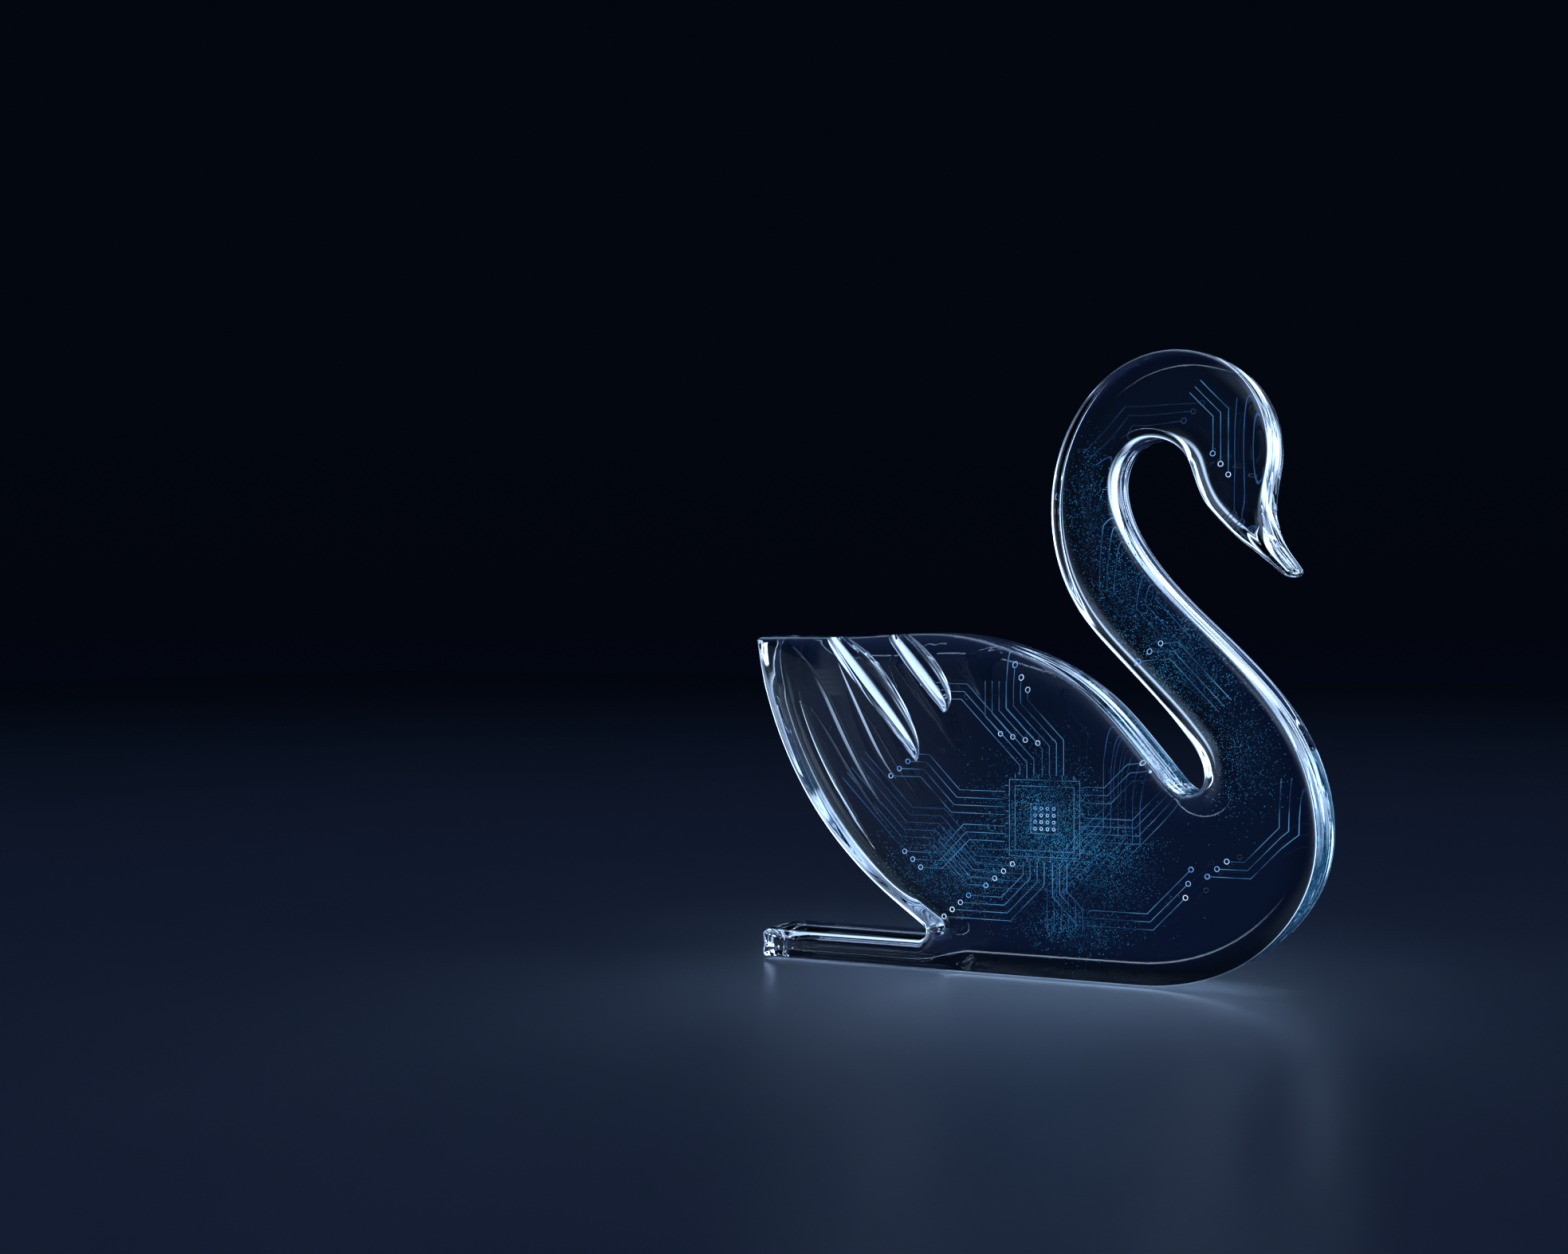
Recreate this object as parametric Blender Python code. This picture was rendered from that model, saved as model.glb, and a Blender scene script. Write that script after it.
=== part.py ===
# Clear glass swan figurine, ground from one thick slab, with softly pillowed faces and a polished rim.
#
# The swan is drawn lying flat, x to the right and y up its height, and is then stood up, so that
# its face looks along -Y, its beak points along +X and its foot rests on z = 0.

import math
from collections import namedtuple

import bmesh
import bpy
import numpy as np
from mathutils import Matrix, Vector
from mathutils.geometry import interpolate_bezier

# Driving sizes, in metres
SWAN_HEIGHT = 0.150
GLASS_THICKNESS = 0.020
HEAD_THICKNESS = 0.0155  # the slab is ground thinner up the neck
BEAK_THICKNESS = 0.0085  # and thinner again towards the tip of the beak
RIM_REACH = 0.008  # how far in from the wall each face starts to curve back
RIM_FALL = 0.0025  # how far it has curved back where it meets the wall
FOOT_HEIGHT = 0.0078  # the bar that runs out under the tail
FOOT_CORNER = 0.0016
TAIL_CROOK = 0.0016  # inside round where the flank meets the foot
BEAK_TIP = 0.0014
WING_TIP = 0.0015
GOUGE_DEPTH = 0.0042  # the two cuts that part the feathers, in the front face only
GOUGE_LEAN = 0.7  # below 1, a gouge is deepest close to its tail side

# Feather lines engraved in the front face: V grooves, steeper on the side towards the tail
LINE_DEPTH = 0.0006
LINE_STEEP_SIDE = 0.0005
LINE_SHALLOW_SIDE = 0.0014
FINE_LINE_DEPTH = 0.0004
FINE_LINE_SIDE = 0.0005
LINE_CLEARANCE = 0.001  # how far the cutting wheel stands out of the face

# How finely the outline, the rims and the gouges are faceted
POINT_SPACING = 0.0030
POINT_TURN = math.radians(10)
RIM_STEPS = 4
GOUGE_STEPS = 14
GOUGE_SIDES = 7

# Where the glass is too narrow for a rim's full reach, it curves back over this share of the room
# there is, and its reach grows again by no more than this share of the way along
RIM_ROOM = 0.85
RIM_GROWTH = 0.4
LEAST_ACROSS = 0.01  # a point this little inside the wall's tangent, for its distance, is part of the wall

# How far a cutter stands clear of the face at its ends, as a share of its depth
LINE_RUN_OUT = 0.25
GOUGE_RUN_OUT = 0.1

GLASS_BLUE = (0.78, 0.87, 0.96, 1.0)
GLASS_IOR = 1.52
GLASS_ROUGHNESS = 0.02
SMOOTH_ANGLE = math.radians(30)

# A smooth point of the outline, and a corner whose round has a real radius. Places are in hundredths
# of the swan's height. Headings are the way the outline runs there, in degrees, glass on its left.
Knot = namedtuple("Knot", "x y heading")
Corner = namedtuple("Corner", "x y arrive leave radius")
Gouge = namedtuple("Gouge", "tail_edge breast_edge")
Line = namedtuple("Line", "knots depth tail_side breast_side")

# The centred outline, how far in its rims reach at each point, and the shift that centred it
Sheet = namedtuple("Sheet", "points reaches shift")

HUNDREDTH = SWAN_HEIGHT / 100
THINNING_START = 45  # up the neck, in hundredths of the height
THINNING_END = 85
THINNING_STRIPS = 10
BEAK_THINNING = 17  # back from the tip of the beak
FOOT_TOP = FOOT_HEIGHT / HUNDREDTH
TOE_X = -48.0
FLANK_FOOT = Knot(-20.7, 9.3, -34)

BREAST = [
    Knot(20.5, 0.0, 0),
    Knot(40.6, 6.5, 39),
    Knot(49.6, 24.2, 90),
    Knot(43.2, 43.3, 126),
    Knot(32.8, 54.5, 137),
]
NECK_FRONT = [
    Knot(23.6, 63.3, 133),
    Knot(17.9, 70.9, 119),
    Knot(15.4, 79.0, 90),
    Knot(21.6, 86.1, 0),
]
THROAT = [
    Knot(28.4, 82.0, -68),
    Knot(31.9, 74.6, -48),
    Knot(38.6, 68.4, -37),
]
BEAK = [Corner(49.1, 59.9, -38, 127, BEAK_TIP)]
HEAD = [
    Knot(41.8, 69.7, 117),
    Knot(40.5, 75.0, 90),
    Knot(41.6, 83.6, 90),
    Knot(37.7, 94.5, 130),
    Knot(25.6, 100.0, 180),
]
NAPE = [
    Knot(11.0, 92.9, 230),
    Knot(5.0, 75.6, 270),
    Knot(10.3, 58.7, 306),
    Knot(18.8, 49.6, 315.5),
    Knot(27.3, 40.8, 310),
    Knot(31.3, 33.4, 272),
]
WING_TOP = [
    Knot(28.6, 30.3, 180),
    Knot(23.0, 34.6, 132),
    Knot(13.0, 45.1, 140),
    Knot(-0.5, 52.6, 161),
    Knot(-14.5, 55.5, 178),
    Knot(-32.0, 54.9, 181),
]
FLANK = [
    Corner(-49.3, 55.0, 180, -88, WING_TIP),
    Knot(-47.6, 44.7, -73),
    Knot(-40.8, 29.6, -58.5),
    Knot(-30.3, 16.8, -43.5),
    FLANK_FOOT,
]
FOOT = [
    Corner(
        FLANK_FOOT.x + (FLANK_FOOT.y - FOOT_TOP) / math.tan(math.radians(-FLANK_FOOT.heading)),
        FOOT_TOP,
        FLANK_FOOT.heading,
        180,
        TAIL_CROOK,
    ),
    Corner(TOE_X, FOOT_TOP, 180, 270, FOOT_CORNER),
    Corner(TOE_X, 0.0, 270, 0, FOOT_CORNER),
]

# Both edges of a gouge run from its root, low in the wing, up past the top of the wing
GOUGES = [
    Gouge(
        [Knot(-18.1, 34.4, 131.5), Knot(-38.2, 57.1, 131.5)],
        [
            Knot(-17.8, 34.5, 60),
            Knot(-17.4, 37.2, 98),
            Knot(-20.8, 45.3, 121),
            Knot(-26.6, 52.2, 141),
            Knot(-34.0, 57.0, 150),
        ],
    ),
    Gouge(
        [Knot(-13.0, 42.5, 132.8), Knot(-26.2, 57.0, 132.8)],
        [
            Knot(-12.7, 42.6, 30),
            Knot(-11.4, 45.2, 95),
            Knot(-12.7, 48.9, 118),
            Knot(-17.2, 54.0, 140),
            Knot(-21.5, 57.2, 146),
        ],
    ),
]
FEATHER_LINES = [
    Line(
        [Knot(-42.4, 53.9, -44), Knot(-34.6, 43.8, -63), Knot(-23.6, 26.0, -50)],
        LINE_DEPTH,
        LINE_STEEP_SIDE,
        LINE_SHALLOW_SIDE,
    ),
    Line(
        [Knot(-32.9, 50.8, -62), Knot(-26.5, 38.6, -62), Knot(-21.1, 30.8, -46)],
        FINE_LINE_DEPTH,
        FINE_LINE_SIDE,
        FINE_LINE_SIDE,
    ),
    Line(
        [Knot(-40.2, 45.0, -40), Knot(-31.4, 34.0, -56), Knot(-20.7, 21.2, -44)],
        FINE_LINE_DEPTH,
        FINE_LINE_SIDE,
        FINE_LINE_SIDE,
    ),
    Line(
        [Knot(-40.6, 46.2, -76), Knot(-35.9, 34.8, -61), Knot(-25.4, 19.3, -50)],
        FINE_LINE_DEPTH,
        FINE_LINE_SIDE,
        LINE_SHALLOW_SIDE,
    ),
]


def direction(heading):
    return Vector((math.cos(math.radians(heading)), math.sin(math.radians(heading))))


def turn_between(first, second):
    """The turn from one heading to another, in degrees, to the left positive."""
    return (second - first + 180) % 360 - 180


def rounded(corner):
    """The two knots at the ends of a corner's round."""
    half_turn = math.radians(abs(turn_between(corner.arrive, corner.leave))) / 2
    back_off = corner.radius / HUNDREDTH * math.tan(half_turn)
    point = Vector((corner.x, corner.y))
    start = point - direction(corner.arrive) * back_off
    end = point + direction(corner.leave) * back_off
    return [Knot(start.x, start.y, corner.arrive), Knot(end.x, end.y, corner.leave)]


def curve_points(start, end):
    """Points along the curve from one knot to the next, both included, in metres."""
    turn = math.radians(abs(turn_between(start.heading, end.heading)))
    a, b = Vector((start.x, start.y)), Vector((end.x, end.y))
    chord = (b - a).length
    reach = chord * 2 / 3 * math.tan(turn / 4) / math.sin(turn / 2) if turn else chord / 3
    count = max(1, math.ceil(chord * HUNDREDTH / POINT_SPACING), math.ceil(turn / POINT_TURN))
    handles = a + direction(start.heading) * reach, b - direction(end.heading) * reach
    places = [place.to_3d() for place in (a, *handles, b)]
    return [Vector(point.xy) * HUNDREDTH for point in interpolate_bezier(*places, count + 1)]


def path_points(knots):
    """Points along the curve through a row of knots, both ends included, in metres."""
    path = curve_points(knots[0], knots[1])[:1]
    for start, end in zip(knots, knots[1:]):
        path += curve_points(start, end)[1:]
    return path


def inward_normals(points):
    ahead = np.roll(points, -1, axis=0) - points
    behind = points - np.roll(points, 1, axis=0)
    along = ahead / np.linalg.norm(ahead, axis=1)[:, None]
    along += behind / np.linalg.norm(behind, axis=1)[:, None]
    along /= np.linalg.norm(along, axis=1)[:, None]
    return np.stack([-along[:, 1], along[:, 0]], axis=1)


def rim_reaches(points):
    """How far in from the wall the rims reach at each point, from the widest circle that fits there."""
    across = points[None, :, :] - points[:, None, :]
    depth = np.einsum("ijk,ik->ij", across, inward_normals(points))
    distance = np.linalg.norm(across, axis=2)
    facing = depth > LEAST_ACROSS * distance
    room = np.where(facing, distance**2 / np.where(facing, 2 * depth, 1), np.inf).min(axis=1)
    reaches = np.minimum(RIM_REACH, RIM_ROOM * room)
    return (reaches + RIM_GROWTH * distance).min(axis=1)


def drawn_sheet():
    """The whole outline, centred on x = 0, with its rims."""
    knots = []
    for item in BREAST + NECK_FRONT + THROAT + BEAK + HEAD + NAPE + WING_TOP + FLANK + FOOT:
        knots += rounded(item) if isinstance(item, Corner) else [item]
    points = np.array(path_points(knots + knots[:1])[:-1])
    shift = Vector((-(points[:, 0].min() + points[:, 0].max()) / 2, 0.0))
    points += np.array(shift)
    return Sheet(points, rim_reaches(points), shift)


def rim_profile():
    """Shares of a rim's reach and fall, step by step, from the flat of the face out to the wall."""
    angles = [math.pi / 2 * step / RIM_STEPS for step in range(RIM_STEPS + 1)]
    return [(1 - math.sin(angle), 1 - math.cos(angle)) for angle in angles]


def stacked(rings):
    """A closed body through rings of equally many points: the first one's face, extruded to each next."""
    bm = bmesh.new()
    face = bm.faces.new([bm.verts.new(place) for place in rings[0]])
    for level, ring in enumerate(rings[1:]):
        made = bmesh.ops.extrude_face_region(bm, geom=[face], use_keep_orig=True)["geom"]
        if level > 0:
            bmesh.ops.delete(bm, geom=[face], context="FACES_ONLY")
        face = next(item for item in made if isinstance(item, bmesh.types.BMFace))
        for vert, place in zip(face.verts, ring):
            vert.co = place
    bmesh.ops.recalc_face_normals(bm, faces=bm.faces)
    return bm


def eased(share):
    """From 0 to 1 with a soft start and a soft end."""
    share = min(1.0, max(0.0, share))
    return share * share * (3 - 2 * share)


def thickness_at(x, y, shift):
    """The glass between the flats of both faces."""
    up_neck = eased((y / HUNDREDTH - THINNING_START) / (THINNING_END - THINNING_START))
    thickness = GLASS_THICKNESS + (HEAD_THICKNESS - GLASS_THICKNESS) * up_neck
    from_tip = math.hypot(x - shift.x - BEAK[0].x * HUNDREDTH, y - BEAK[0].y * HUNDREDTH)
    down_beak = eased(1 - from_tip / (BEAK_THINNING * HUNDREDTH))
    return thickness + (BEAK_THICKNESS - thickness) * down_beak


def face_height(place, sheet):
    """Where the front face lies at a place, for a cut that is ground into it."""
    insets = np.linalg.norm(sheet.points - np.array(place), axis=1)
    nearest = insets.argmin()
    sine = max(0.0, 1 - insets[nearest] / sheet.reaches[nearest])
    return thickness_at(*place, sheet.shift) / 2 - RIM_FALL * (1 - math.sqrt(1 - sine * sine))


def slab(sheet):
    """The outline pulled up through the glass, from the flat of the back to the flat of the front."""
    inward = inward_normals(sheet.points) * sheet.reaches[:, None]
    back = [(reach, RIM_FALL * fall - GLASS_THICKNESS / 2) for reach, fall in rim_profile()]
    front = [(reach, -height) for reach, height in reversed(back)]
    rings = []
    for reach, height in back + front:
        flat = sheet.points + inward * reach
        shares = [thickness_at(x, y, sheet.shift) / GLASS_THICKNESS for x, y in flat]
        rings.append([Vector((x, y, height * share)) for (x, y), share in zip(flat, shares)])
    bm = stacked(rings)
    faces = sorted(bm.faces, key=lambda face: face.calc_area())[-2:]
    for height in np.linspace(THINNING_START, THINNING_END, THINNING_STRIPS + 1) * HUNDREDTH:
        edges = dict.fromkeys(edge for face in faces for edge in face.edges)
        verts = dict.fromkeys(vert for face in faces for vert in face.verts)
        geometry = [*faces, *edges, *verts]
        cut = bmesh.ops.bisect_plane(bm, geom=geometry, plane_co=(0, height, 0), plane_no=(0, 1, 0))
        faces = [item for item in cut["geom"] if isinstance(item, bmesh.types.BMFace)]
    return bm


def line_cutter(line, sheet):
    """A V-shaped bar along a feather line, sunk into the face midway and clear of it at both ends."""
    path = path_points(line.knots)
    sections = []
    for i, place in enumerate(path):
        centre = place + sheet.shift
        along = (path[min(i + 1, len(path) - 1)] - path[max(i - 1, 0)]).normalized()
        side = Vector((-along.y, along.x))
        middle = math.sqrt(math.sin(math.pi * i / (len(path) - 1)))
        depth = line.depth * ((1 + LINE_RUN_OUT) * middle - LINE_RUN_OUT)
        surface = face_height(centre, sheet)
        height = depth + LINE_CLEARANCE
        tail = centre - side * (line.tail_side * height / line.depth)
        breast = centre + side * (line.breast_side * height / line.depth)
        top, bottom = surface + LINE_CLEARANCE, surface - depth
        sections.append([Vector((*tail, top)), Vector((*centre, bottom)), Vector((*breast, top))])
    return stacked(sections)


def evenly(path, count):
    """The same path as count points an equal length apart."""
    path = np.array(path)
    lengths = np.append(0, np.cumsum(np.linalg.norm(np.diff(path, axis=0), axis=1)))
    places = np.linspace(0, lengths[-1], count)
    columns = [np.interp(places, lengths, column) for column in path.T]
    return [Vector(place) for place in zip(*columns)]


def gouge_cutter(gouge, sheet):
    """A leaf-shaped bar between two feathers, deepest close to its steep tail side."""
    tail_edge = evenly(path_points(gouge.tail_edge), GOUGE_STEPS + 1)
    breast_edge = evenly(path_points(gouge.breast_edge), GOUGE_STEPS + 1)
    sections = []
    for tail, breast in zip(tail_edge, breast_edge):
        surface = thickness_at(*(breast + sheet.shift), sheet.shift) / 2
        depth = GOUGE_DEPTH * math.tanh((breast - tail).length / GOUGE_DEPTH)
        section = []
        for i in range(GOUGE_SIDES + 1):
            across = i / GOUGE_SIDES
            middle = math.sin(math.pi * across**GOUGE_LEAN)
            sink = depth * ((1 + GOUGE_RUN_OUT) * middle - GOUGE_RUN_OUT)
            section.append(Vector((*(tail.lerp(breast, across) + sheet.shift), surface - sink)))
        sections.append(section)
    return stacked(sections)


def add_object(name, bm):
    """Stands the drawn body up and puts it in the scene."""
    bmesh.ops.transform(bm, matrix=Matrix.Rotation(math.pi / 2, 4, "X"), verts=bm.verts)
    mesh = bpy.data.meshes.new(name)
    bm.to_mesh(mesh)
    bm.free()
    made = bpy.data.objects.new(name, mesh)
    bpy.context.collection.objects.link(made)
    return made


def glass():
    material = bpy.data.materials.new("clear glass")
    material.use_nodes = True
    shader = material.node_tree.nodes["Principled BSDF"]
    shader.inputs["Base Color"].default_value = GLASS_BLUE
    shader.inputs["Roughness"].default_value = GLASS_ROUGHNESS
    shader.inputs["Metallic"].default_value = 0.0
    shader.inputs["IOR"].default_value = GLASS_IOR
    shader.inputs["Transmission Weight"].default_value = 1.0
    return material


def main():
    for existing in list(bpy.data.objects):
        bpy.data.objects.remove(existing)
    sheet = drawn_sheet()
    swan = add_object("swan", slab(sheet))
    swan.data.materials.append(glass())
    swan.data.shade_smooth()
    swan.data.set_sharp_from_angle(angle=SMOOTH_ANGLE)
    cutters = [("gouge", gouge_cutter(gouge, sheet)) for gouge in GOUGES]
    cutters += [("feather_line", line_cutter(line, sheet)) for line in FEATHER_LINES]
    for number, (name, body) in enumerate(cutters, 1):
        cutter = add_object(f"{name}_cutter_{number}", body)
        cutter.hide_render = True
        cutter.display_type = "WIRE"
        cut = swan.modifiers.new(cutter.name, "BOOLEAN")
        cut.operation = "DIFFERENCE"
        cut.solver = "EXACT"
        cut.object = cutter


main()
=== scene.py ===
# Clear glass swan figurine with a fine tracery sealed inside it, on a pale floor in dark-field light.

import math
import random
from collections import namedtuple

import bmesh
import bpy
import numpy as np
from mathutils import Matrix, Vector
from mathutils.geometry import interpolate_bezier


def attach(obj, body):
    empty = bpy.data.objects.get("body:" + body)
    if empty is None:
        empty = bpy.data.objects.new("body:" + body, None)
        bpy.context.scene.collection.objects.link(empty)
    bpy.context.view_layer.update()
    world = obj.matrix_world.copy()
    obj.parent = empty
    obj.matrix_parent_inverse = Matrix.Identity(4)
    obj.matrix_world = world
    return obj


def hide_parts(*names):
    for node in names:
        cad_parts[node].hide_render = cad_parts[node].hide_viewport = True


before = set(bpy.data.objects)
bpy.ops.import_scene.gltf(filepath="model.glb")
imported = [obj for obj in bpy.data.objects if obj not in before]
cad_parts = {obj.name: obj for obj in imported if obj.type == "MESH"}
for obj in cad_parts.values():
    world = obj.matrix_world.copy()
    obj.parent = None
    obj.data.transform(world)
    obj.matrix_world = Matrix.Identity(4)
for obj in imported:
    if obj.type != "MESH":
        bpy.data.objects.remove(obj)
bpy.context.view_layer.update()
print("frame loaded")

# A smooth point of an outline, and a corner that is rounded off. Places are in hundredths of the swan's
# height, headings in degrees and radii in metres. The glass is on the left of the way the outline runs.
Knot = namedtuple("Knot", "x y heading")
Corner = namedtuple("Corner", "x y arrive leave radius")


def direction(heading):
    return Vector((math.cos(math.radians(heading)), math.sin(math.radians(heading))))


def eased(share):
    share = min(1.0, max(0.0, share))
    return share * share * (3 - 2 * share)


def linear(hexColour):  # sRGB hex to the renderer's linear values, with an alpha of 1
    channels = [int(hexColour[i:i + 2], 16) / 255 for i in (1, 3, 5)]
    return tuple(c / 12.92 if c <= 0.04045 else ((c + 0.055) / 1.055) ** 2.4 for c in channels) + (1.0,)


def addNode(owner, kind, settings=None, **links):  # the owner is a material, a lamp or the world
    node = owner.node_tree.nodes.new(kind)
    for name, value in (settings or {}).items():
        if name in node.inputs:
            node.inputs[name].default_value = value
        else:
            setattr(node, name, value)
    for name, output in links.items():
        owner.node_tree.links.new(output, node.inputs[name.replace("_", " ")])
    return node


def newMaterial(name, **values):
    material = bpy.data.materials.new(name)
    material.use_nodes = True
    shader = material.node_tree.nodes["Principled BSDF"]
    for socket, value in values.items():
        shader.inputs[socket.replace("_", " ")].default_value = value
    return material


def addObject(name, bm, material):
    mesh = bpy.data.meshes.new(name)
    bm.to_mesh(mesh)
    bm.free()
    mesh.materials.append(material)
    made = bpy.data.objects.new(name, mesh)
    bpy.context.scene.collection.objects.link(made)
    return made


def joined(bodies):
    bm = bmesh.new()
    for body in bodies:
        mesh = bpy.data.meshes.new("part")
        body.to_mesh(mesh)
        body.free()
        bm.from_mesh(mesh)
        bpy.data.meshes.remove(mesh)
    return bm


def addUpright(name, bodies, material):  # bodies are made lying on their backs, and stood up here
    bm = joined(bodies)
    bm.transform(Matrix.Rotation(math.pi / 2, 4, "X"))
    return addObject(name, bm, material)


# The swan: one slab of glass, ground to this outline, its faces curving softly back to the wall all round
swan = {
    "height": 0.150,
    "thickness": 0.020,
    "headThickness": 0.0155,     # the slab is ground thinner up the neck, and again down the beak
    "beakThickness": 0.0085,
    "thinFrom": 45,              # hundredths of the height, and so are the knots, the toe and the next two
    "thinTo": 85,
    "beakThinning": 17,
    "rimReach": 0.008,           # how far in each face starts to curve back to the wall, and by how much
    "rimFall": 0.0025,
    "rimRoom": 0.85,             # share of the room there is, where the glass is narrow
    "rimGrowth": 0.4,            # the reach changes no faster than this from place to place
    "leastAcross": 0.01,         # slope above which a point counts as across the glass from another
    "rimSteps": 12,
    "wallBulge": 0.0003,         # the wall is softly convex, and polishing leaves shallow flutes along it
    "wallSteps": 24,
    "flute": 0.00003,
    "flutes": 3,
    "fluteDrift": 0.7,           # radians by which the flutes wander across the wall, and over what length
    "fluteLength": 0.2,
    "spacing": 0.0007,           # between the outline's points
    "turn": 2.5,                 # most degrees from one to the next
    "grid": 0.0013,              # of the quads in the faces, where the slab thins
    "gridFrom": -0.01,           # left of this the slab thins with height alone, and strips will do
    "tolerance": 0.000001,       # points nearer than this are one
    "sharpAngle": 25,
    "flatsWeight": 100,          # the big flats rule the shading where they meet the rim
    "breast": [Knot(20.5, 0, 0), Knot(40.6, 6.5, 39), Knot(49.6, 24.2, 90), Knot(43.2, 43.3, 126),
               Knot(32.8, 54.5, 137)],
    "neckFront": [Knot(23.6, 63.3, 133), Knot(17.9, 70.9, 119), Knot(15.4, 79, 90), Knot(21.6, 86.1, 0)],
    "throat": [Knot(28.4, 82, -68), Knot(31.9, 74.6, -48), Knot(38.6, 68.4, -37)],
    "beak": [Corner(49.1, 59.9, -38, 127, 0.0014)],
    "head": [Knot(41.8, 69.7, 117), Knot(40.5, 75, 90), Knot(41.6, 83.6, 90), Knot(37.7, 94.5, 130),
             Knot(25.6, 100, 180)],
    "nape": [Knot(11, 92.9, 230), Knot(5, 75.6, 270), Knot(10.3, 58.7, 306), Knot(18.8, 49.6, 315.5),
             Knot(27.3, 40.8, 310), Knot(31.3, 33.4, 272)],
    "wingTop": [Knot(28.6, 30.3, 180), Knot(23, 34.6, 132), Knot(13, 45.1, 140), Knot(-0.5, 52.6, 161),
                Knot(-14.5, 55.5, 178), Knot(-32, 54.9, 181)],
    "flank": [Corner(-49.3, 55, 180, -88, 0.0015), Knot(-47.6, 44.7, -73), Knot(-40.8, 29.6, -58.5),
              Knot(-30.3, 16.8, -43.5), Knot(-20.7, 9.3, -34)],
    "footHeight": 0.0078,
    "footCorner": 0.0016,
    "tailCrook": 0.0016,
    "toe": -48,
}
unit = swan["height"] / 100


def turnBetween(first, second):
    return (second - first + 180) % 360 - 180


def rounded(corner):
    halfTurn = math.radians(abs(turnBetween(corner.arrive, corner.leave))) / 2
    backOff = corner.radius / unit * math.tan(halfTurn)
    point = Vector((corner.x, corner.y))
    start = point - direction(corner.arrive) * backOff
    end = point + direction(corner.leave) * backOff
    return [Knot(start.x, start.y, corner.arrive), Knot(end.x, end.y, corner.leave)]


def curvePoints(start, end):  # a cubic, as near to an arc as its two headings let it be
    turn = math.radians(abs(turnBetween(start.heading, end.heading)))
    first = Vector((start.x, start.y))
    last = Vector((end.x, end.y))
    chord = (last - first).length
    reach = chord * 2 / 3 * math.tan(turn / 4) / math.sin(turn / 2) if turn else chord / 3
    count = max(1, math.ceil(chord * unit / swan["spacing"]), math.ceil(turn / math.radians(swan["turn"])))
    handles = [first + direction(start.heading) * reach, last - direction(end.heading) * reach]
    places = [place.to_3d() for place in (first, *handles, last)]
    return [Vector(point.xy) * unit for point in interpolate_bezier(*places, count + 1)]


def pathPoints(knots):
    path = []
    for start, end in zip(knots, knots[1:]):
        points = curvePoints(start, end)
        path += points[1:] if path else points
    return path


def swanOutline():
    flankFoot = swan["flank"][-1]
    footTop = swan["footHeight"] / unit
    crook = flankFoot.x + (flankFoot.y - footTop) / math.tan(math.radians(-flankFoot.heading))
    foot = [
        Corner(crook, footTop, flankFoot.heading, 180, swan["tailCrook"]),
        Corner(swan["toe"], footTop, 180, 270, swan["footCorner"]),
        Corner(swan["toe"], 0, 270, 0, swan["footCorner"]),
    ]
    knots = []
    for part in ("breast", "neckFront", "throat", "beak", "head", "nape", "wingTop", "flank"):
        knots += swan[part]
    smooth = []
    for item in knots + foot:
        smooth += rounded(item) if isinstance(item, Corner) else [item]
    return np.array(pathPoints(smooth + smooth[:1])[:-1])


outline = swanOutline()
shift = Vector((-(outline[:, 0].min() + outline[:, 0].max()) / 2, 0))
outline += np.array(shift)


def inwardNormals(points):
    ahead = np.roll(points, -1, axis=0) - points
    ahead /= np.linalg.norm(ahead, axis=1)[:, None]
    along = ahead + np.roll(ahead, 1, axis=0)
    along /= np.linalg.norm(along, axis=1)[:, None]
    return np.stack([-along[:, 1], along[:, 0]], axis=1)


def rimReaches(points):  # from the widest circle inside the outline that touches it at each point
    across = points[None, :, :] - points[:, None, :]
    depth = np.einsum("ijk,ik->ij", across, inwardNormals(points))
    distance = np.linalg.norm(across, axis=2)
    facing = depth > swan["leastAcross"] * distance
    room = np.where(facing, distance ** 2 / np.where(facing, 2 * depth, 1), np.inf).min(axis=1)
    reaches = np.minimum(swan["rimReach"], swan["rimRoom"] * room)
    return (reaches + swan["rimGrowth"] * distance).min(axis=1)


reaches = rimReaches(outline)


def thicknessAt(x, y):
    upNeck = eased((y / unit - swan["thinFrom"]) / (swan["thinTo"] - swan["thinFrom"]))
    thickness = swan["thickness"] + (swan["headThickness"] - swan["thickness"]) * upNeck
    tip = swan["beak"][0]
    fromTip = math.hypot(x - shift.x - tip.x * unit, y - tip.y * unit)
    downBeak = eased(1 - fromTip / (swan["beakThinning"] * unit))
    return thickness + (swan["beakThickness"] - thickness) * downBeak


def faceHeight(place):
    insets = np.linalg.norm(outline - np.array(place), axis=1)
    nearest = insets.argmin()
    sine = max(0.0, 1 - insets[nearest] / reaches[nearest])
    return thicknessAt(*place) / 2 - swan["rimFall"] * (1 - math.sqrt(1 - sine * sine))


def stacked(rings):  # the first ring's face, extruded to each next ring in turn
    bm = bmesh.new()
    face = bm.faces.new([bm.verts.new(place) for place in rings[0]])
    for level, ring in enumerate(rings[1:]):
        made = bmesh.ops.extrude_face_region(bm, geom=[face], use_keep_orig=True)["geom"]
        if level > 0:
            bmesh.ops.delete(bm, geom=[face], context="FACES_ONLY")
        face = next(item for item in made if isinstance(item, bmesh.types.BMFace))
        for vert, place in zip(face.verts, ring):
            vert.co = place
    bmesh.ops.recalc_face_normals(bm, faces=bm.faces)
    return bm


def cutByPlane(bm, faces, place, normal):
    edges = dict.fromkeys(edge for face in faces for edge in face.edges)
    verts = dict.fromkeys(vert for face in faces for vert in face.verts)
    cut = bmesh.ops.bisect_plane(bm, geom=[*faces, *edges, *verts], plane_co=place, plane_no=normal)
    return [item for item in cut["geom"] if isinstance(item, bmesh.types.BMFace)]


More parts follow.
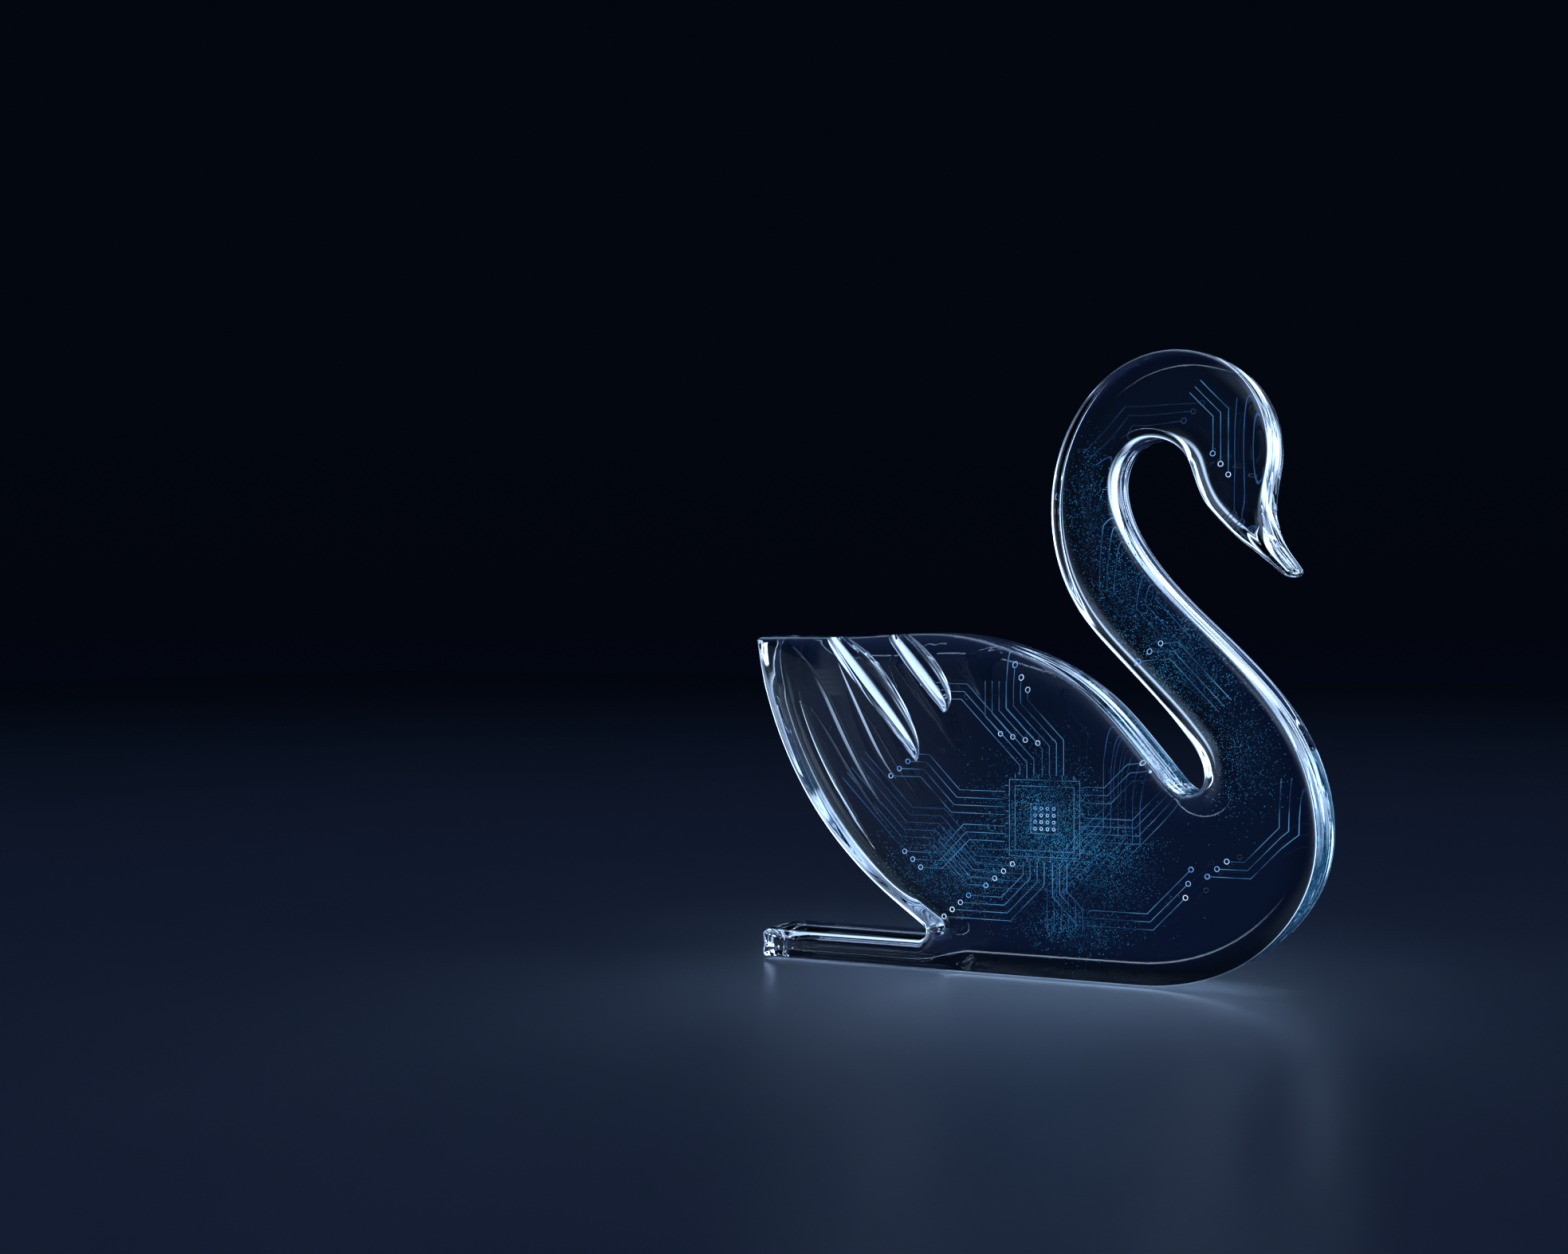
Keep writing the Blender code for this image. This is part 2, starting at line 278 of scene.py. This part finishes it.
def wallInset(across):  # across the wall, from -1 at its back edge to 1 at its front edge
    spans = np.linalg.norm(np.roll(outline, -1, axis=0) - outline, axis=1)
    turns = round(spans.sum() / swan["fluteLength"])
    drift = swan["fluteDrift"] * np.sin(2 * math.pi * turns * np.cumsum(spans) / spans.sum())
    waves = 1 + np.sin(math.pi * swan["flutes"] * across + drift)
    return swan["wallBulge"] * across ** 2 + swan["flute"] * waves * (1 - across ** 4)


def glassSlab():
    inward = inwardNormals(outline)
    wallHeight = swan["thickness"] / 2 - swan["rimFall"]
    rings = []
    for step in range(swan["wallSteps"] + 1):
        across = 2 * step / swan["wallSteps"] - 1
        rings.append((outline + inward * wallInset(across)[:, None], across * wallHeight))
    for step in range(1, swan["rimSteps"] + 1):
        angle = math.pi / 2 * step / swan["rimSteps"]
        inset = swan["wallBulge"] + (reaches - swan["wallBulge"]) * (1 - math.cos(angle))
        height = wallHeight + swan["rimFall"] * math.sin(angle)
        rings.append((outline + inward * inset[:, None], height))
        rings.insert(0, (outline + inward * inset[:, None], -height))
    bm = stacked([[Vector((x, y, height)) for x, y in points] for points, height in rings])
    faces = sorted(bm.faces, key=lambda face: face.calc_area())[-2:]
    # where the slab thins, its two flats are cut in small quads that can follow the curve
    thinFrom = swan["thinFrom"] * unit
    for height in np.arange(thinFrom, swan["height"], swan["grid"]):
        faces = cutByPlane(bm, faces, (0, height, 0), (0, 1, 0))
    lowest = thinFrom - swan["tolerance"]
    faces = [face for face in faces if min(vert.co.y for vert in face.verts) > lowest]
    for across in np.arange(swan["gridFrom"], outline[:, 0].max(), swan["grid"]):
        faces = cutByPlane(bm, faces, (across, 0, 0), (1, 0, 0))
    for vert in bm.verts:
        vert.co.z *= thicknessAt(vert.co.x, vert.co.y) / swan["thickness"]
    return bm


# Two gouges part the feathers, and four lines are engraved over the tail, all in the front face only
feathers = {
    "gougeDepth": 0.0042,
    "gougeLean": 0.7,            # below 1, the deepest part lies nearer the tail
    "gougeRunOut": 0.1,          # share of the depth by which its edges rise clear of the face
    "gougeSteps": 60,
    "gougeSides": 32,
    "fluteDepth": 0.0001,        # grinding flutes along the gouges
    "flutes": 5,
    "gouges": [
        ([Knot(-18.1, 34.4, 131.5), Knot(-38.2, 57.1, 131.5)],
         [Knot(-17.8, 34.5, 60), Knot(-17.4, 37.2, 98), Knot(-20.8, 45.3, 121), Knot(-26.6, 52.2, 141),
          Knot(-34, 57, 150)]),
        ([Knot(-13, 42.5, 132.8), Knot(-26.2, 57, 132.8)],
         [Knot(-12.7, 42.6, 30), Knot(-11.4, 45.2, 95), Knot(-12.7, 48.9, 118), Knot(-17.2, 54, 140),
          Knot(-21.5, 57.2, 146)]),
    ],
    "lineRunOut": 0.25,          # share of the depth by which a line's ends rise clear
    "clearance": 0.001,          # of a line cutter's top over the face
    # knots, depth, width on the tail side, width on the breast side
    "lines": [
        ([Knot(-42.4, 53.9, -44), Knot(-34.6, 43.8, -63), Knot(-23.6, 26, -50)], 0.0006, 0.0005, 0.0014),
        ([Knot(-32.9, 50.8, -62), Knot(-26.5, 38.6, -62), Knot(-21.1, 30.8, -46)], 0.0004, 0.0005, 0.0005),
        ([Knot(-40.2, 45, -40), Knot(-31.4, 34, -56), Knot(-20.7, 21.2, -44)], 0.0004, 0.0005, 0.0005),
        ([Knot(-40.6, 46.2, -76), Knot(-35.9, 34.8, -61), Knot(-25.4, 19.3, -50)], 0.0004, 0.0005, 0.0014),
    ],
}


def lineCutter(knots, lineDepth, tailSide, breastSide):  # a V that is shallow at both ends
    path = pathPoints(knots)
    sections = []
    for i, place in enumerate(path):
        centre = place + shift
        along = (path[min(i + 1, len(path) - 1)] - path[max(i - 1, 0)]).normalized()
        side = Vector((-along.y, along.x))
        middle = math.sqrt(math.sin(math.pi * i / (len(path) - 1)))
        depth = lineDepth * ((1 + feathers["lineRunOut"]) * middle - feathers["lineRunOut"])
        surface = faceHeight(centre)
        height = depth + feathers["clearance"]
        tail = centre - side * (tailSide * height / lineDepth)
        breast = centre + side * (breastSide * height / lineDepth)
        top = surface + feathers["clearance"]
        sections.append([Vector((*tail, top)), Vector((*centre, surface - depth)), Vector((*breast, top))])
    return stacked(sections)


def evenly(path, count):
    path = np.array(path)
    lengths = np.append(0, np.cumsum(np.linalg.norm(np.diff(path, axis=0), axis=1)))
    places = np.linspace(0, lengths[-1], count)
    return [Vector(place) for place in zip(*[np.interp(places, lengths, column) for column in path.T])]


def gougeCutter(tailKnots, breastKnots):  # a trough between two edges, shallow where they are close
    tailEdge = evenly(pathPoints(tailKnots), feathers["gougeSteps"] + 1)
    breastEdge = evenly(pathPoints(breastKnots), feathers["gougeSteps"] + 1)
    sections = []
    for tail, breast in zip(tailEdge, breastEdge):
        surface = thicknessAt(*(breast + shift)) / 2
        depth = feathers["gougeDepth"] * math.tanh((breast - tail).length / feathers["gougeDepth"])
        section = []
        for i in range(feathers["gougeSides"] + 1):
            across = i / feathers["gougeSides"]
            middle = math.sin(math.pi * across ** feathers["gougeLean"])
            sink = depth * ((1 + feathers["gougeRunOut"]) * middle - feathers["gougeRunOut"])
            sink += feathers["fluteDepth"] * middle * math.sin(2 * math.pi * feathers["flutes"] * across)
            section.append(Vector((*(tail.lerp(breast, across) + shift), surface - sink)))
        sections.append(section)
    return stacked(sections)


# Optical crown glass, ground and polished all over: clear and mirror-smooth, with no colour of its own but
# a breath of blue through the thick of it, so that its form shows only in what it bends and mirrors
clearGlass = newMaterial(
    "polishedCrownGlass",
    Base_Color=linear("#f4f9ff"),
    Roughness=0.0,
    IOR=1.517,
    Transmission_Weight=1.0,
)


def makeSwan():
    body = addUpright("glass_swan_body", [glassSlab()], clearGlass)
    cutters = [
        addUpright("gouge_cutter", [gougeCutter(*gouge) for gouge in feathers["gouges"]], clearGlass),
        addUpright("line_cutter", [lineCutter(*line) for line in feathers["lines"]], clearGlass),
    ]
    for cutter in cutters:
        cut = body.modifiers.new(cutter.name, "BOOLEAN")
        cut.solver = "EXACT"
        cut.object = cutter
    cutBody = bpy.data.meshes.new_from_object(body.evaluated_get(bpy.context.evaluated_depsgraph_get()))
    body.modifiers.clear()
    # the cutting leaves a few slivers, far too small to see
    merged = bmesh.new()
    merged.from_mesh(cutBody)
    bmesh.ops.remove_doubles(merged, verts=merged.verts, dist=swan["tolerance"])
    merged.to_mesh(cutBody)
    merged.free()
    body.data = cutBody
    for cutter in cutters:
        bpy.data.objects.remove(cutter)
    cutBody.shade_smooth()
    cutBody.set_sharp_from_angle(angle=math.radians(swan["sharpAngle"]))
    normals = body.modifiers.new("weighted normals", "WEIGHTED_NORMAL")
    normals.keep_sharp = True
    normals.weight = swan["flatsWeight"]
    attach(body, "root")
    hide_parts("swan")
    return body


swanBody = makeSwan()
print("glass swan made,", len(swanBody.data.polygons), "faces")


# The tracery: bundles of fine lines that end in ring pads, some of them deeper and fainter, and a haze of
# tiny marks, all engraved by laser inside the glass and spreading from one square hub. Places and lengths
# are in hundredths of the height, and sizes and depths under 0.01 are in metres.
tracery = {
    "lineWidth": 0.00014,
    "lineDepth": 0.0001,
    "ringRadius": 0.00058,
    "ringBar": 0.00016,
    "ringSides": 16,
    "pitch": 1.25,
    "margin": 0.0022,            # least glass between the tracery and the wall
    "step": 0.0003,              # between the places where that is tried
    "hub": (3.5, 25.5),
    "hubSquares": (6.2, 5.2, 2.4),
    "hubGrid": 4,
    "hubGridPitch": 1.1,
    "hubDepth": 0.0015,
    "pins": 6,
    "pinGap": 0.2,
    "pinLength": 0.6,
    "pinRadius": 0.00036,
    # start, legs of (heading, length), lines in the bundle, stagger of their ends, depth in the glass
    "bundles": [
        ((10.5, 24.0), [(0, 9), (45, 12), (90, 9), (135, 25), (90, 14)], 4, 2.2, 0.0015),
        ((10.5, 29.6), [(0, 4), (45, 5), (0, 3)], 3, -1.4, 0.0015),
        ((5.0, 32.5), [(90, 5), (135, 9), (90, 5)], 4, 1.8, 0.0015),
        ((0.4, 32.5), [(90, 2), (135, 16), (180, 6)], 3, -1.7, 0.0015),
        ((-3.5, 27.8), [(180, 9), (135, 8), (180, 4)], 4, 1.6, 0.0015),
        ((-3.5, 22.8), [(180, 7), (225, 7), (180, 5)], 3, -1.5, 0.0015),
        ((1.6, 18.5), [(270, 3), (225, 7), (180, 9)], 4, 1.5, 0.0015),
        ((6.2, 18.5), [(270, 5), (315, 5), (0, 12), (45, 9)], 3, 1.9, 0.0015),
        ((43.6, 33.0), [(270, 8), (225, 9), (180, 5)], 3, 1.6, -0.0025),
        ((33.5, 44.0), [(135, 12), (180, 4)], 3, 1.8, -0.0025),
        ((13.6, 62.0), [(90, 10), (60, 12), (90, 2)], 3, 1.5, -0.0025),
        ((29.0, 94.0), [(315, 6), (270, 8)], 3, 1.7, 0.0015),
        ((-16.0, 21.5), [(315, 8), (0, 5)], 4, 1.6, -0.0025),
        ((-6.0, 47.5), [(270, 5), (315, 6)], 4, 1.9, -0.0025),
        ((-33.0, 33.0), [(315, 14), (0, 6), (315, 9), (0, 20)], 6, 1.3, -0.0045),
        ((6.0, 7.0), [(90, 6), (45, 14), (90, 22)], 6, -1.3, -0.0045),
        ((17.0, 40.0), [(270, 12), (225, 14), (270, 9)], 5, 1.6, -0.0045),
        ((26.5, 53.5), [(135, 9), (90, 8), (135, 4), (90, 12)], 4, 1.4, -0.0045),
        ((36.5, 92.0), [(270, 22), (315, 4)], 4, -1.6, -0.0045),
        ((9.5, 84.0), [(45, 10), (0, 12)], 4, 1.5, -0.0045),
    ],
    "faintBelow": -0.004,        # bundles that lie deeper than this are faint
    # centre, reach across, reach up (two standard deviations), share of the marks
    "hazes": [
        ((4, 24), 11, 11, 0.34),
        ((14, 18), 10, 9, 0.11),
        ((27, 51), 10, 10, 0.17),
        ((17, 62), 6, 10, 0.08),
        ((-12, 17), 14, 8, 0.17),
        ((8, 8), 10, 4, 0.06),
        ((36, 36), 8, 9, 0.06),
        ((11, 76), 5, 10, 0.06),
    ],
    "marks": 19000,
    "markSize": (0.00004, 0.00011),
    "markDepth": 0.0035,         # either side of the slab's middle
    "markSides": (3, 2),         # so small that a mark needs only six faces
    "waver": (0.38, 0.64),       # where in the noise the glow is faintest and brightest
    "seed": 7,
}


# Laser-engraved marks: tiny rough fractures in the dark glass. Their blue shine is a painted glow: the
# shader gives them an emission of their own, though they are no lamp, in place of the light they would
# scatter, and it wavers over some millimetres, as the cut comes out deeper or fainter. Real fractures are
# 0.02 to 0.1 mm across, so these are drawn coarser. The grain is a waver's length in metres.
def engravedPaintedGlow(name, deep, bright, strength, grain):
    material = newMaterial(name, Base_Color=linear("#0a2030"), Roughness=0.6, Emission_Strength=strength)
    place = addNode(material, "ShaderNodeTexCoord")
    noise = {"Scale": 1 / grain, "Detail": 2.0, "Roughness": 0.6}
    waver = addNode(material, "ShaderNodeTexNoise", noise, Vector=place.outputs["Object"])
    colour = addNode(material, "ShaderNodeValToRGB", Fac=waver.outputs["Fac"])
    for stop, at, tone in zip(colour.color_ramp.elements, tracery["waver"], (deep, bright)):
        stop.position = at
        stop.color = linear(tone)
    shader = material.node_tree.nodes["Principled BSDF"]
    material.node_tree.links.new(colour.outputs["Color"], shader.inputs["Emission Color"])
    return material


# the tracery's lines, faint lines, rings and haze all shine by painted glow, an emission of their own
traceLines = engravedPaintedGlow("laserEngravedLinesPaintedGlow", "#0f2f58", "#5ea4e0", strength=0.7, grain=0.010)
traceFaint = engravedPaintedGlow("laserEngravedFaintLinesPaintedGlow", "#0b1d3c", "#2f63a6", strength=0.8, grain=0.014)
traceRings = engravedPaintedGlow("laserEngravedRingsPaintedGlow", "#4a86cc", "#cfe4ff", strength=1.2, grain=0.006)
traceHaze = engravedPaintedGlow("laserEngravedHazePaintedGlow", "#125078", "#3a98cc", strength=1.9, grain=0.012)


def insideGlass(place, margin):  # inside if an odd number of the outline's edges lie to the right
    ahead = np.roll(outline, -1, axis=0)
    spans = (outline[:, 1] > place.y) != (ahead[:, 1] > place.y)
    rise = np.where(spans, ahead[:, 1] - outline[:, 1], 1)
    crossing = outline[:, 0] + (place.y - outline[:, 1]) / rise * (ahead[:, 0] - outline[:, 0])
    inside = (spans & (crossing > place.x)).sum() % 2 == 1
    return inside and np.linalg.norm(outline - np.array(place), axis=1).min() > margin


def besidePath(path, aside):  # the path's parallel at a distance to its left, with mitred corners
    beside = []
    for i, place in enumerate(path):
        before = (path[max(i, 1)] - path[max(i, 1) - 1]).normalized()
        after = (path[i + 1] - place).normalized() if i + 1 < len(path) else before
        left = Vector((-before.y - after.y, before.x + after.x)) / (1 + before.dot(after))
        beside.append(place + left * aside)
    return beside


def traceBar(path, depth):  # a fine bar of glass that has been engraved, along a path
    half = tracery["lineWidth"] / 2
    low = depth - tracery["lineDepth"] / 2
    high = depth + tracery["lineDepth"] / 2
    return stacked([
        [Vector((*right, low)), Vector((*left, low)), Vector((*left, high)), Vector((*right, high))]
        for left, right in zip(besidePath(path, half), besidePath(path, -half))
    ])


# with few sides it is a polygon, and with 4 a square
def ringPad(place, depth, radius=tracery["ringRadius"], sides=tracery["ringSides"]):
    bm = bmesh.new()
    half = tracery["ringBar"] / 2
    centre = (*place, depth)
    inner = radius - half
    outer = radius + half
    corners = [(inner, -half), (outer, -half), (outer, half), (inner, half)]
    verts = [bm.verts.new((place.x + out, place.y, depth + up)) for out, up in corners]
    edges = [bm.edges.new((vert, verts[i - 1])) for i, vert in enumerate(verts)]
    bmesh.ops.spin(bm, geom=[*verts, *edges], cent=centre, axis=(0, 0, 1), angle=2 * math.pi, steps=sides,
                   use_merge=True)
    halfSide = Matrix.Rotation(math.pi / sides, 3, "Z")
    bmesh.ops.rotate(bm, verts=bm.verts, cent=centre, matrix=halfSide)
    bmesh.ops.recalc_face_normals(bm, faces=bm.faces)
    return bm


def insideRun(path):  # the path as far as it stays well inside the glass
    kept = []
    for start, end in zip(path, path[1:]):
        steps = math.ceil((end - start).length / tracery["step"])
        for step in range(steps + 1):
            place = start.lerp(end, step / steps)
            if not insideGlass(place, tracery["margin"]):
                return kept
            if step > 1:  # the leg's end moves on
                kept[-1] = place
            elif step == 1 or not kept:
                kept.append(place)
    return kept


def bundleParts(start, legs, count, stagger, depth):
    path = [Vector(start)]
    for heading, length in legs:
        path.append(path[-1] + direction(heading) * length)
    lines = []
    pads = []
    for number in range(count):
        line = besidePath(path, (number - (count - 1) / 2) * tracery["pitch"])
        longer = stagger * (number if stagger > 0 else number - count + 1)
        line[-1] = line[-1] + direction(legs[-1][0]) * (longer - abs(stagger) * (count - 1) / 2)
        kept = insideRun([place * unit + shift for place in line])
        if len(kept) < 2:
            continue
        backOff = (kept[-1] - kept[-2]).normalized() * tracery["ringRadius"]
        lines.append(traceBar(kept[:-1] + [kept[-1] - backOff], depth))
        pads.append(ringPad(kept[-1], depth))
    return lines, pads


def hubParts():
    centre = Vector(tracery["hub"]) * unit + shift
    depth = tracery["hubDepth"]
    outer = tracery["hubSquares"][0]
    bars = [ringPad(centre, depth, half * unit * math.sqrt(2), 4) for half in tracery["hubSquares"]]
    rings = []
    for column in range(tracery["hubGrid"]):
        for row in range(tracery["hubGrid"]):
            step = Vector((column, row)) - Vector((1, 1)) * (tracery["hubGrid"] - 1) / 2
            place = centre + step * tracery["hubGridPitch"] * unit
            rings.append(ringPad(place, depth, tracery["pinRadius"]))
    for side in range(4):
        out = direction(90 * side)
        along = direction(90 * side + 90)
        for pin in range(tracery["pins"]):
            aside = (pin - (tracery["pins"] - 1) / 2) * outer * 2 / tracery["pins"]
            start = Vector(tracery["hub"]) + out * (outer + tracery["pinGap"]) + along * aside
            end = start + out * tracery["pinLength"]
            bars.append(traceBar([start * unit + shift, end * unit + shift], depth))
    return bars, rings


def hazeMarks():
    rng = random.Random(tracery["seed"])
    mark = bmesh.new()
    around, along = tracery["markSides"]
    bmesh.ops.create_uvsphere(mark, u_segments=around, v_segments=along, radius=1)
    markMesh = bpy.data.meshes.new("mark")
    mark.to_mesh(markMesh)
    mark.free()
    bm = bmesh.new()
    for centre, across, up, share in tracery["hazes"]:
        for _ in range(round(tracery["marks"] * share)):
            drawn = Vector((rng.gauss(0, across / 2), rng.gauss(0, up / 2)))
            place = (Vector(centre) + drawn) * unit + shift
            if not insideGlass(place, tracery["margin"]):
                continue
            depth = rng.uniform(-1, 1) * tracery["markDepth"]
            radius = rng.uniform(*tracery["markSize"])
            one = markMesh.copy()
            one.transform(Matrix.LocRotScale((*place, depth), None, (radius, radius, radius)))
            bm.from_mesh(one)
            bpy.data.meshes.remove(one)
    bpy.data.meshes.remove(markMesh)
    return bm


def makeTracery():
    lines, rings = hubParts()
    faint = []
    for bundle in tracery["bundles"]:
        bundleLines, bundleRings = bundleParts(*bundle)
        if bundle[-1] < tracery["faintBelow"]:
            faint += bundleLines + bundleRings
        else:
            lines += bundleLines
            rings += bundleRings
    made = []
    for name, bodies, material in (
        ("tracery_lines", lines, traceLines),
        ("tracery_faint_lines", faint, traceFaint),
        ("tracery_rings", rings, traceRings),
        ("tracery_haze", [hazeMarks()], traceHaze),
    ):
        piece = addUpright(name, bodies, material)
        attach(piece, "root")
        made.append(piece)
    return made


tracePieces = makeTracery()
print("tracery made,", [len(piece.data.polygons) for piece in tracePieces], "faces")


# A plain pale table top in sprayed satin lacquer, so wide that it passes for the room's floor. Its tone
# and sheen are a touch cloudy, which keeps the light on it from looking flat.
tableTop = {
    "halfSize": 2.5,
    "cloud": 0.07,               # length of a cloud, in metres
    "tones": ("#bec3ca", "#cacdd2"),
    "sheen": (0.3, 0.42),        # roughness
}


def makeLacquer():
    lacquer = newMaterial("sprayedSatinLacquer", IOR=1.5)
    place = addNode(lacquer, "ShaderNodeTexCoord")
    noise = {"Scale": 1 / tableTop["cloud"], "Detail": 5.0, "Roughness": 0.55}
    cloud = addNode(lacquer, "ShaderNodeTexNoise", noise, Vector=place.outputs["Object"])
    tone = addNode(lacquer, "ShaderNodeValToRGB", Fac=cloud.outputs["Fac"])
    for stop, colour in zip(tone.color_ramp.elements, tableTop["tones"]):
        stop.color = linear(colour)
    least, most = tableTop["sheen"]
    span = {"To Min": least, "To Max": most}
    sheen = addNode(lacquer, "ShaderNodeMapRange", span, Value=cloud.outputs["Fac"])
    shader = lacquer.node_tree.nodes["Principled BSDF"]
    lacquer.node_tree.links.new(tone.outputs["Color"], shader.inputs["Base Color"])
    lacquer.node_tree.links.new(sheen.outputs["Result"], shader.inputs["Roughness"])
    return lacquer


grid = bmesh.new()
bmesh.ops.create_grid(grid, x_segments=1, y_segments=1, size=tableTop["halfSize"])
floor = addObject("floor", grid, makeLacquer())
# the glass sees and mirrors the dim room below the horizon in place of the floor, so that panels which
# stand below it can light the glass too
floor.visible_transmission = False
floor.visible_glossy = False


# The studio is lit as glass is: the room is dim, and soft panels out of the camera's sight make the edges
# shine while the faces stay clear. Broad panels fill the walls that the camera sees from outside. Narrow
# strips draw fine lines in the walls that it sees through the glass, because those mirror a ring of places
# 24 degrees from straight behind. The panels light only the glass and the tracery, and the floor has a
# light of its own.
Panel = namedtuple("Panel", "bearing height width tall brightness lean colour", defaults=(0, "#bddaff"))
studio = {
    "distance": 1.2,             # of each panel from the middle of the swan
    "middle": (0, 0, 0.075),
    # bearing (from straight behind towards the breast side), height and lean are in degrees, width and
    # tall in metres, and brightness is the radiance of the panel's middle
    "panels": {
        "tail side": Panel(-84, 0, 2.1, 2.6, 3.8),
        "breast side": Panel(84, 20, 2.4, 2.4, 3.2),
        "back arch": Panel(-22, 58, 2.9, 1.5, 2.8),
        "overhead": Panel(0, 88, 1.6, 1.6, 2.8),
        "front left": Panel(-134, -8, 1.0, 1.2, 1.0),
        "front right": Panel(132, 36, 1.2, 1.1, 2.4),
        "front fill": Panel(-158, 2, 2.2, 2.2, 0.3, colour="#4a70b6"),
        "behind breast": Panel(24, 10, 0.3, 1.5, 4.0),
        "breast strip": Panel(15, -9, 0.05, 0.8, 9.0, lean=36),
        "nape strip": Panel(16, 12, 0.12, 1.2, 6.0, lean=-40),
        "throat strip": Panel(-2, 12, 0.14, 0.9, 1.2, lean=-40),
        "neck strip": Panel(4, 23.5, 0.9, 0.14, 8.0),
        "front strip": Panel(-157, -22, 1.4, 0.07, 8.0),
    },
    "floorLightSize": 0.6,
    "floorLightHeight": 1.4,
    "floorLightWatts": 1.0,
    "floorLightColour": "#86aaff",
    # where on the way from straight down at 0 to straight up at 1, and the room's colour there
    "roomColours": ((0.25, "#1c2742"), (0.42, "#050c20"), (0.5, "#03060f"), (0.56, "#03070f")),
}


def areaLight(name, width, tall, watts, colour):
    lamp = bpy.data.lights.new(name, "AREA")
    lamp.shape = "RECTANGLE"
    lamp.size = width
    lamp.size_y = tall
    lamp.energy = watts
    lamp.color = linear(colour)[:3]
    made = bpy.data.objects.new(name, lamp)
    made.visible_camera = False
    bpy.context.scene.collection.objects.link(made)
    return made


seesPanels = bpy.data.collections.new("sees the panels")
for piece in [swanBody, *tracePieces]:
    seesPanels.objects.link(piece)


def makePanel(name, panel):
    watts = panel.brightness * math.pi * panel.width * panel.tall
    made = areaLight(name, panel.width, panel.tall, watts, panel.colour)
    around = Matrix.Rotation(math.radians(-panel.bearing), 3, "Z")
    raised = Matrix.Rotation(math.radians(panel.height), 3, "X")
    away = around @ raised @ Vector((0, studio["distance"], 0))
    made.location = Vector(studio["middle"]) + away
    facing = away.to_track_quat("Z", "Y").to_matrix()
    made.rotation_euler = (facing @ Matrix.Rotation(math.radians(panel.lean), 3, "Z")).to_euler()
    made.light_linking.receiver_collection = seesPanels
    # brightest in the middle, and faded to nothing at its edges, as a softbox's cloth is
    lamp = made.data
    lamp.use_nodes = True
    cloth = addNode(lamp, "ShaderNodeNewGeometry")
    centring = {"Location": (-1, -1, 0), "Scale": (2, 2, 0)}
    centred = addNode(lamp, "ShaderNodeMapping", centring, Vector=cloth.outputs["Parametric"])
    fromMiddle = {"gradient_type": "SPHERICAL"}
    disc = addNode(lamp, "ShaderNodeTexGradient", fromMiddle, Vector=centred.outputs["Vector"])
    easing = {"interpolation_type": "SMOOTHERSTEP"}
    fade = addNode(lamp, "ShaderNodeMapRange", easing, Value=disc.outputs["Fac"])
    lamp.node_tree.links.new(fade.outputs["Result"], lamp.node_tree.nodes["Emission"].inputs["Strength"])


def makeRoom():
    world = bpy.data.worlds.new("dim studio")
    bpy.context.scene.world = world
    world.use_nodes = True
    way = addNode(world, "ShaderNodeTexCoord")
    parts = addNode(world, "ShaderNodeSeparateXYZ", Vector=way.outputs["Generated"])
    level = addNode(world, "ShaderNodeMapRange", {"From Min": -1.0}, Value=parts.outputs["Z"])
    room = addNode(world, "ShaderNodeValToRGB", Fac=level.outputs["Result"])
    for stop, colour in studio["roomColours"]:
        room.color_ramp.elements.new(stop).color = linear(colour)
    for end in (0, -1):  # the ramp's own black and white
        room.color_ramp.elements.remove(room.color_ramp.elements[end])
    world.node_tree.links.new(room.outputs["Color"], world.node_tree.nodes["Background"].inputs["Color"])


for name, panel in studio["panels"].items():
    makePanel(name, panel)
side = studio["floorLightSize"]
floorLight = areaLight("floor light", side, side, studio["floorLightWatts"], studio["floorLightColour"])
floorLight.location = (0, 0, studio["floorLightHeight"])
makeRoom()
# plain sRGB, so that the dark glass keeps its contrast and the edges burn out to white
bpy.context.scene.view_settings.view_transform = "Standard"
print("floor and lights made")


# The camera stands where the photograph's did: level, a little to the swan's breast side
view = {
    "lens": 45,
    "shift": -0.169,
    "turn": 24,
    "distance": 0.4788,
    "aim": (0.00414, 0, 0.08465),
}
turn = math.radians(view["turn"])
camera = bpy.data.objects.new("camera", bpy.data.cameras.new("camera"))
camera.data.lens = view["lens"]
camera.data.shift_x = view["shift"]
camera.location = Vector(view["aim"]) + Vector((math.sin(turn), -math.cos(turn), 0)) * view["distance"]
camera.rotation_euler = (math.pi / 2, 0, turn)
bpy.context.scene.collection.objects.link(camera)
bpy.context.scene.camera = camera
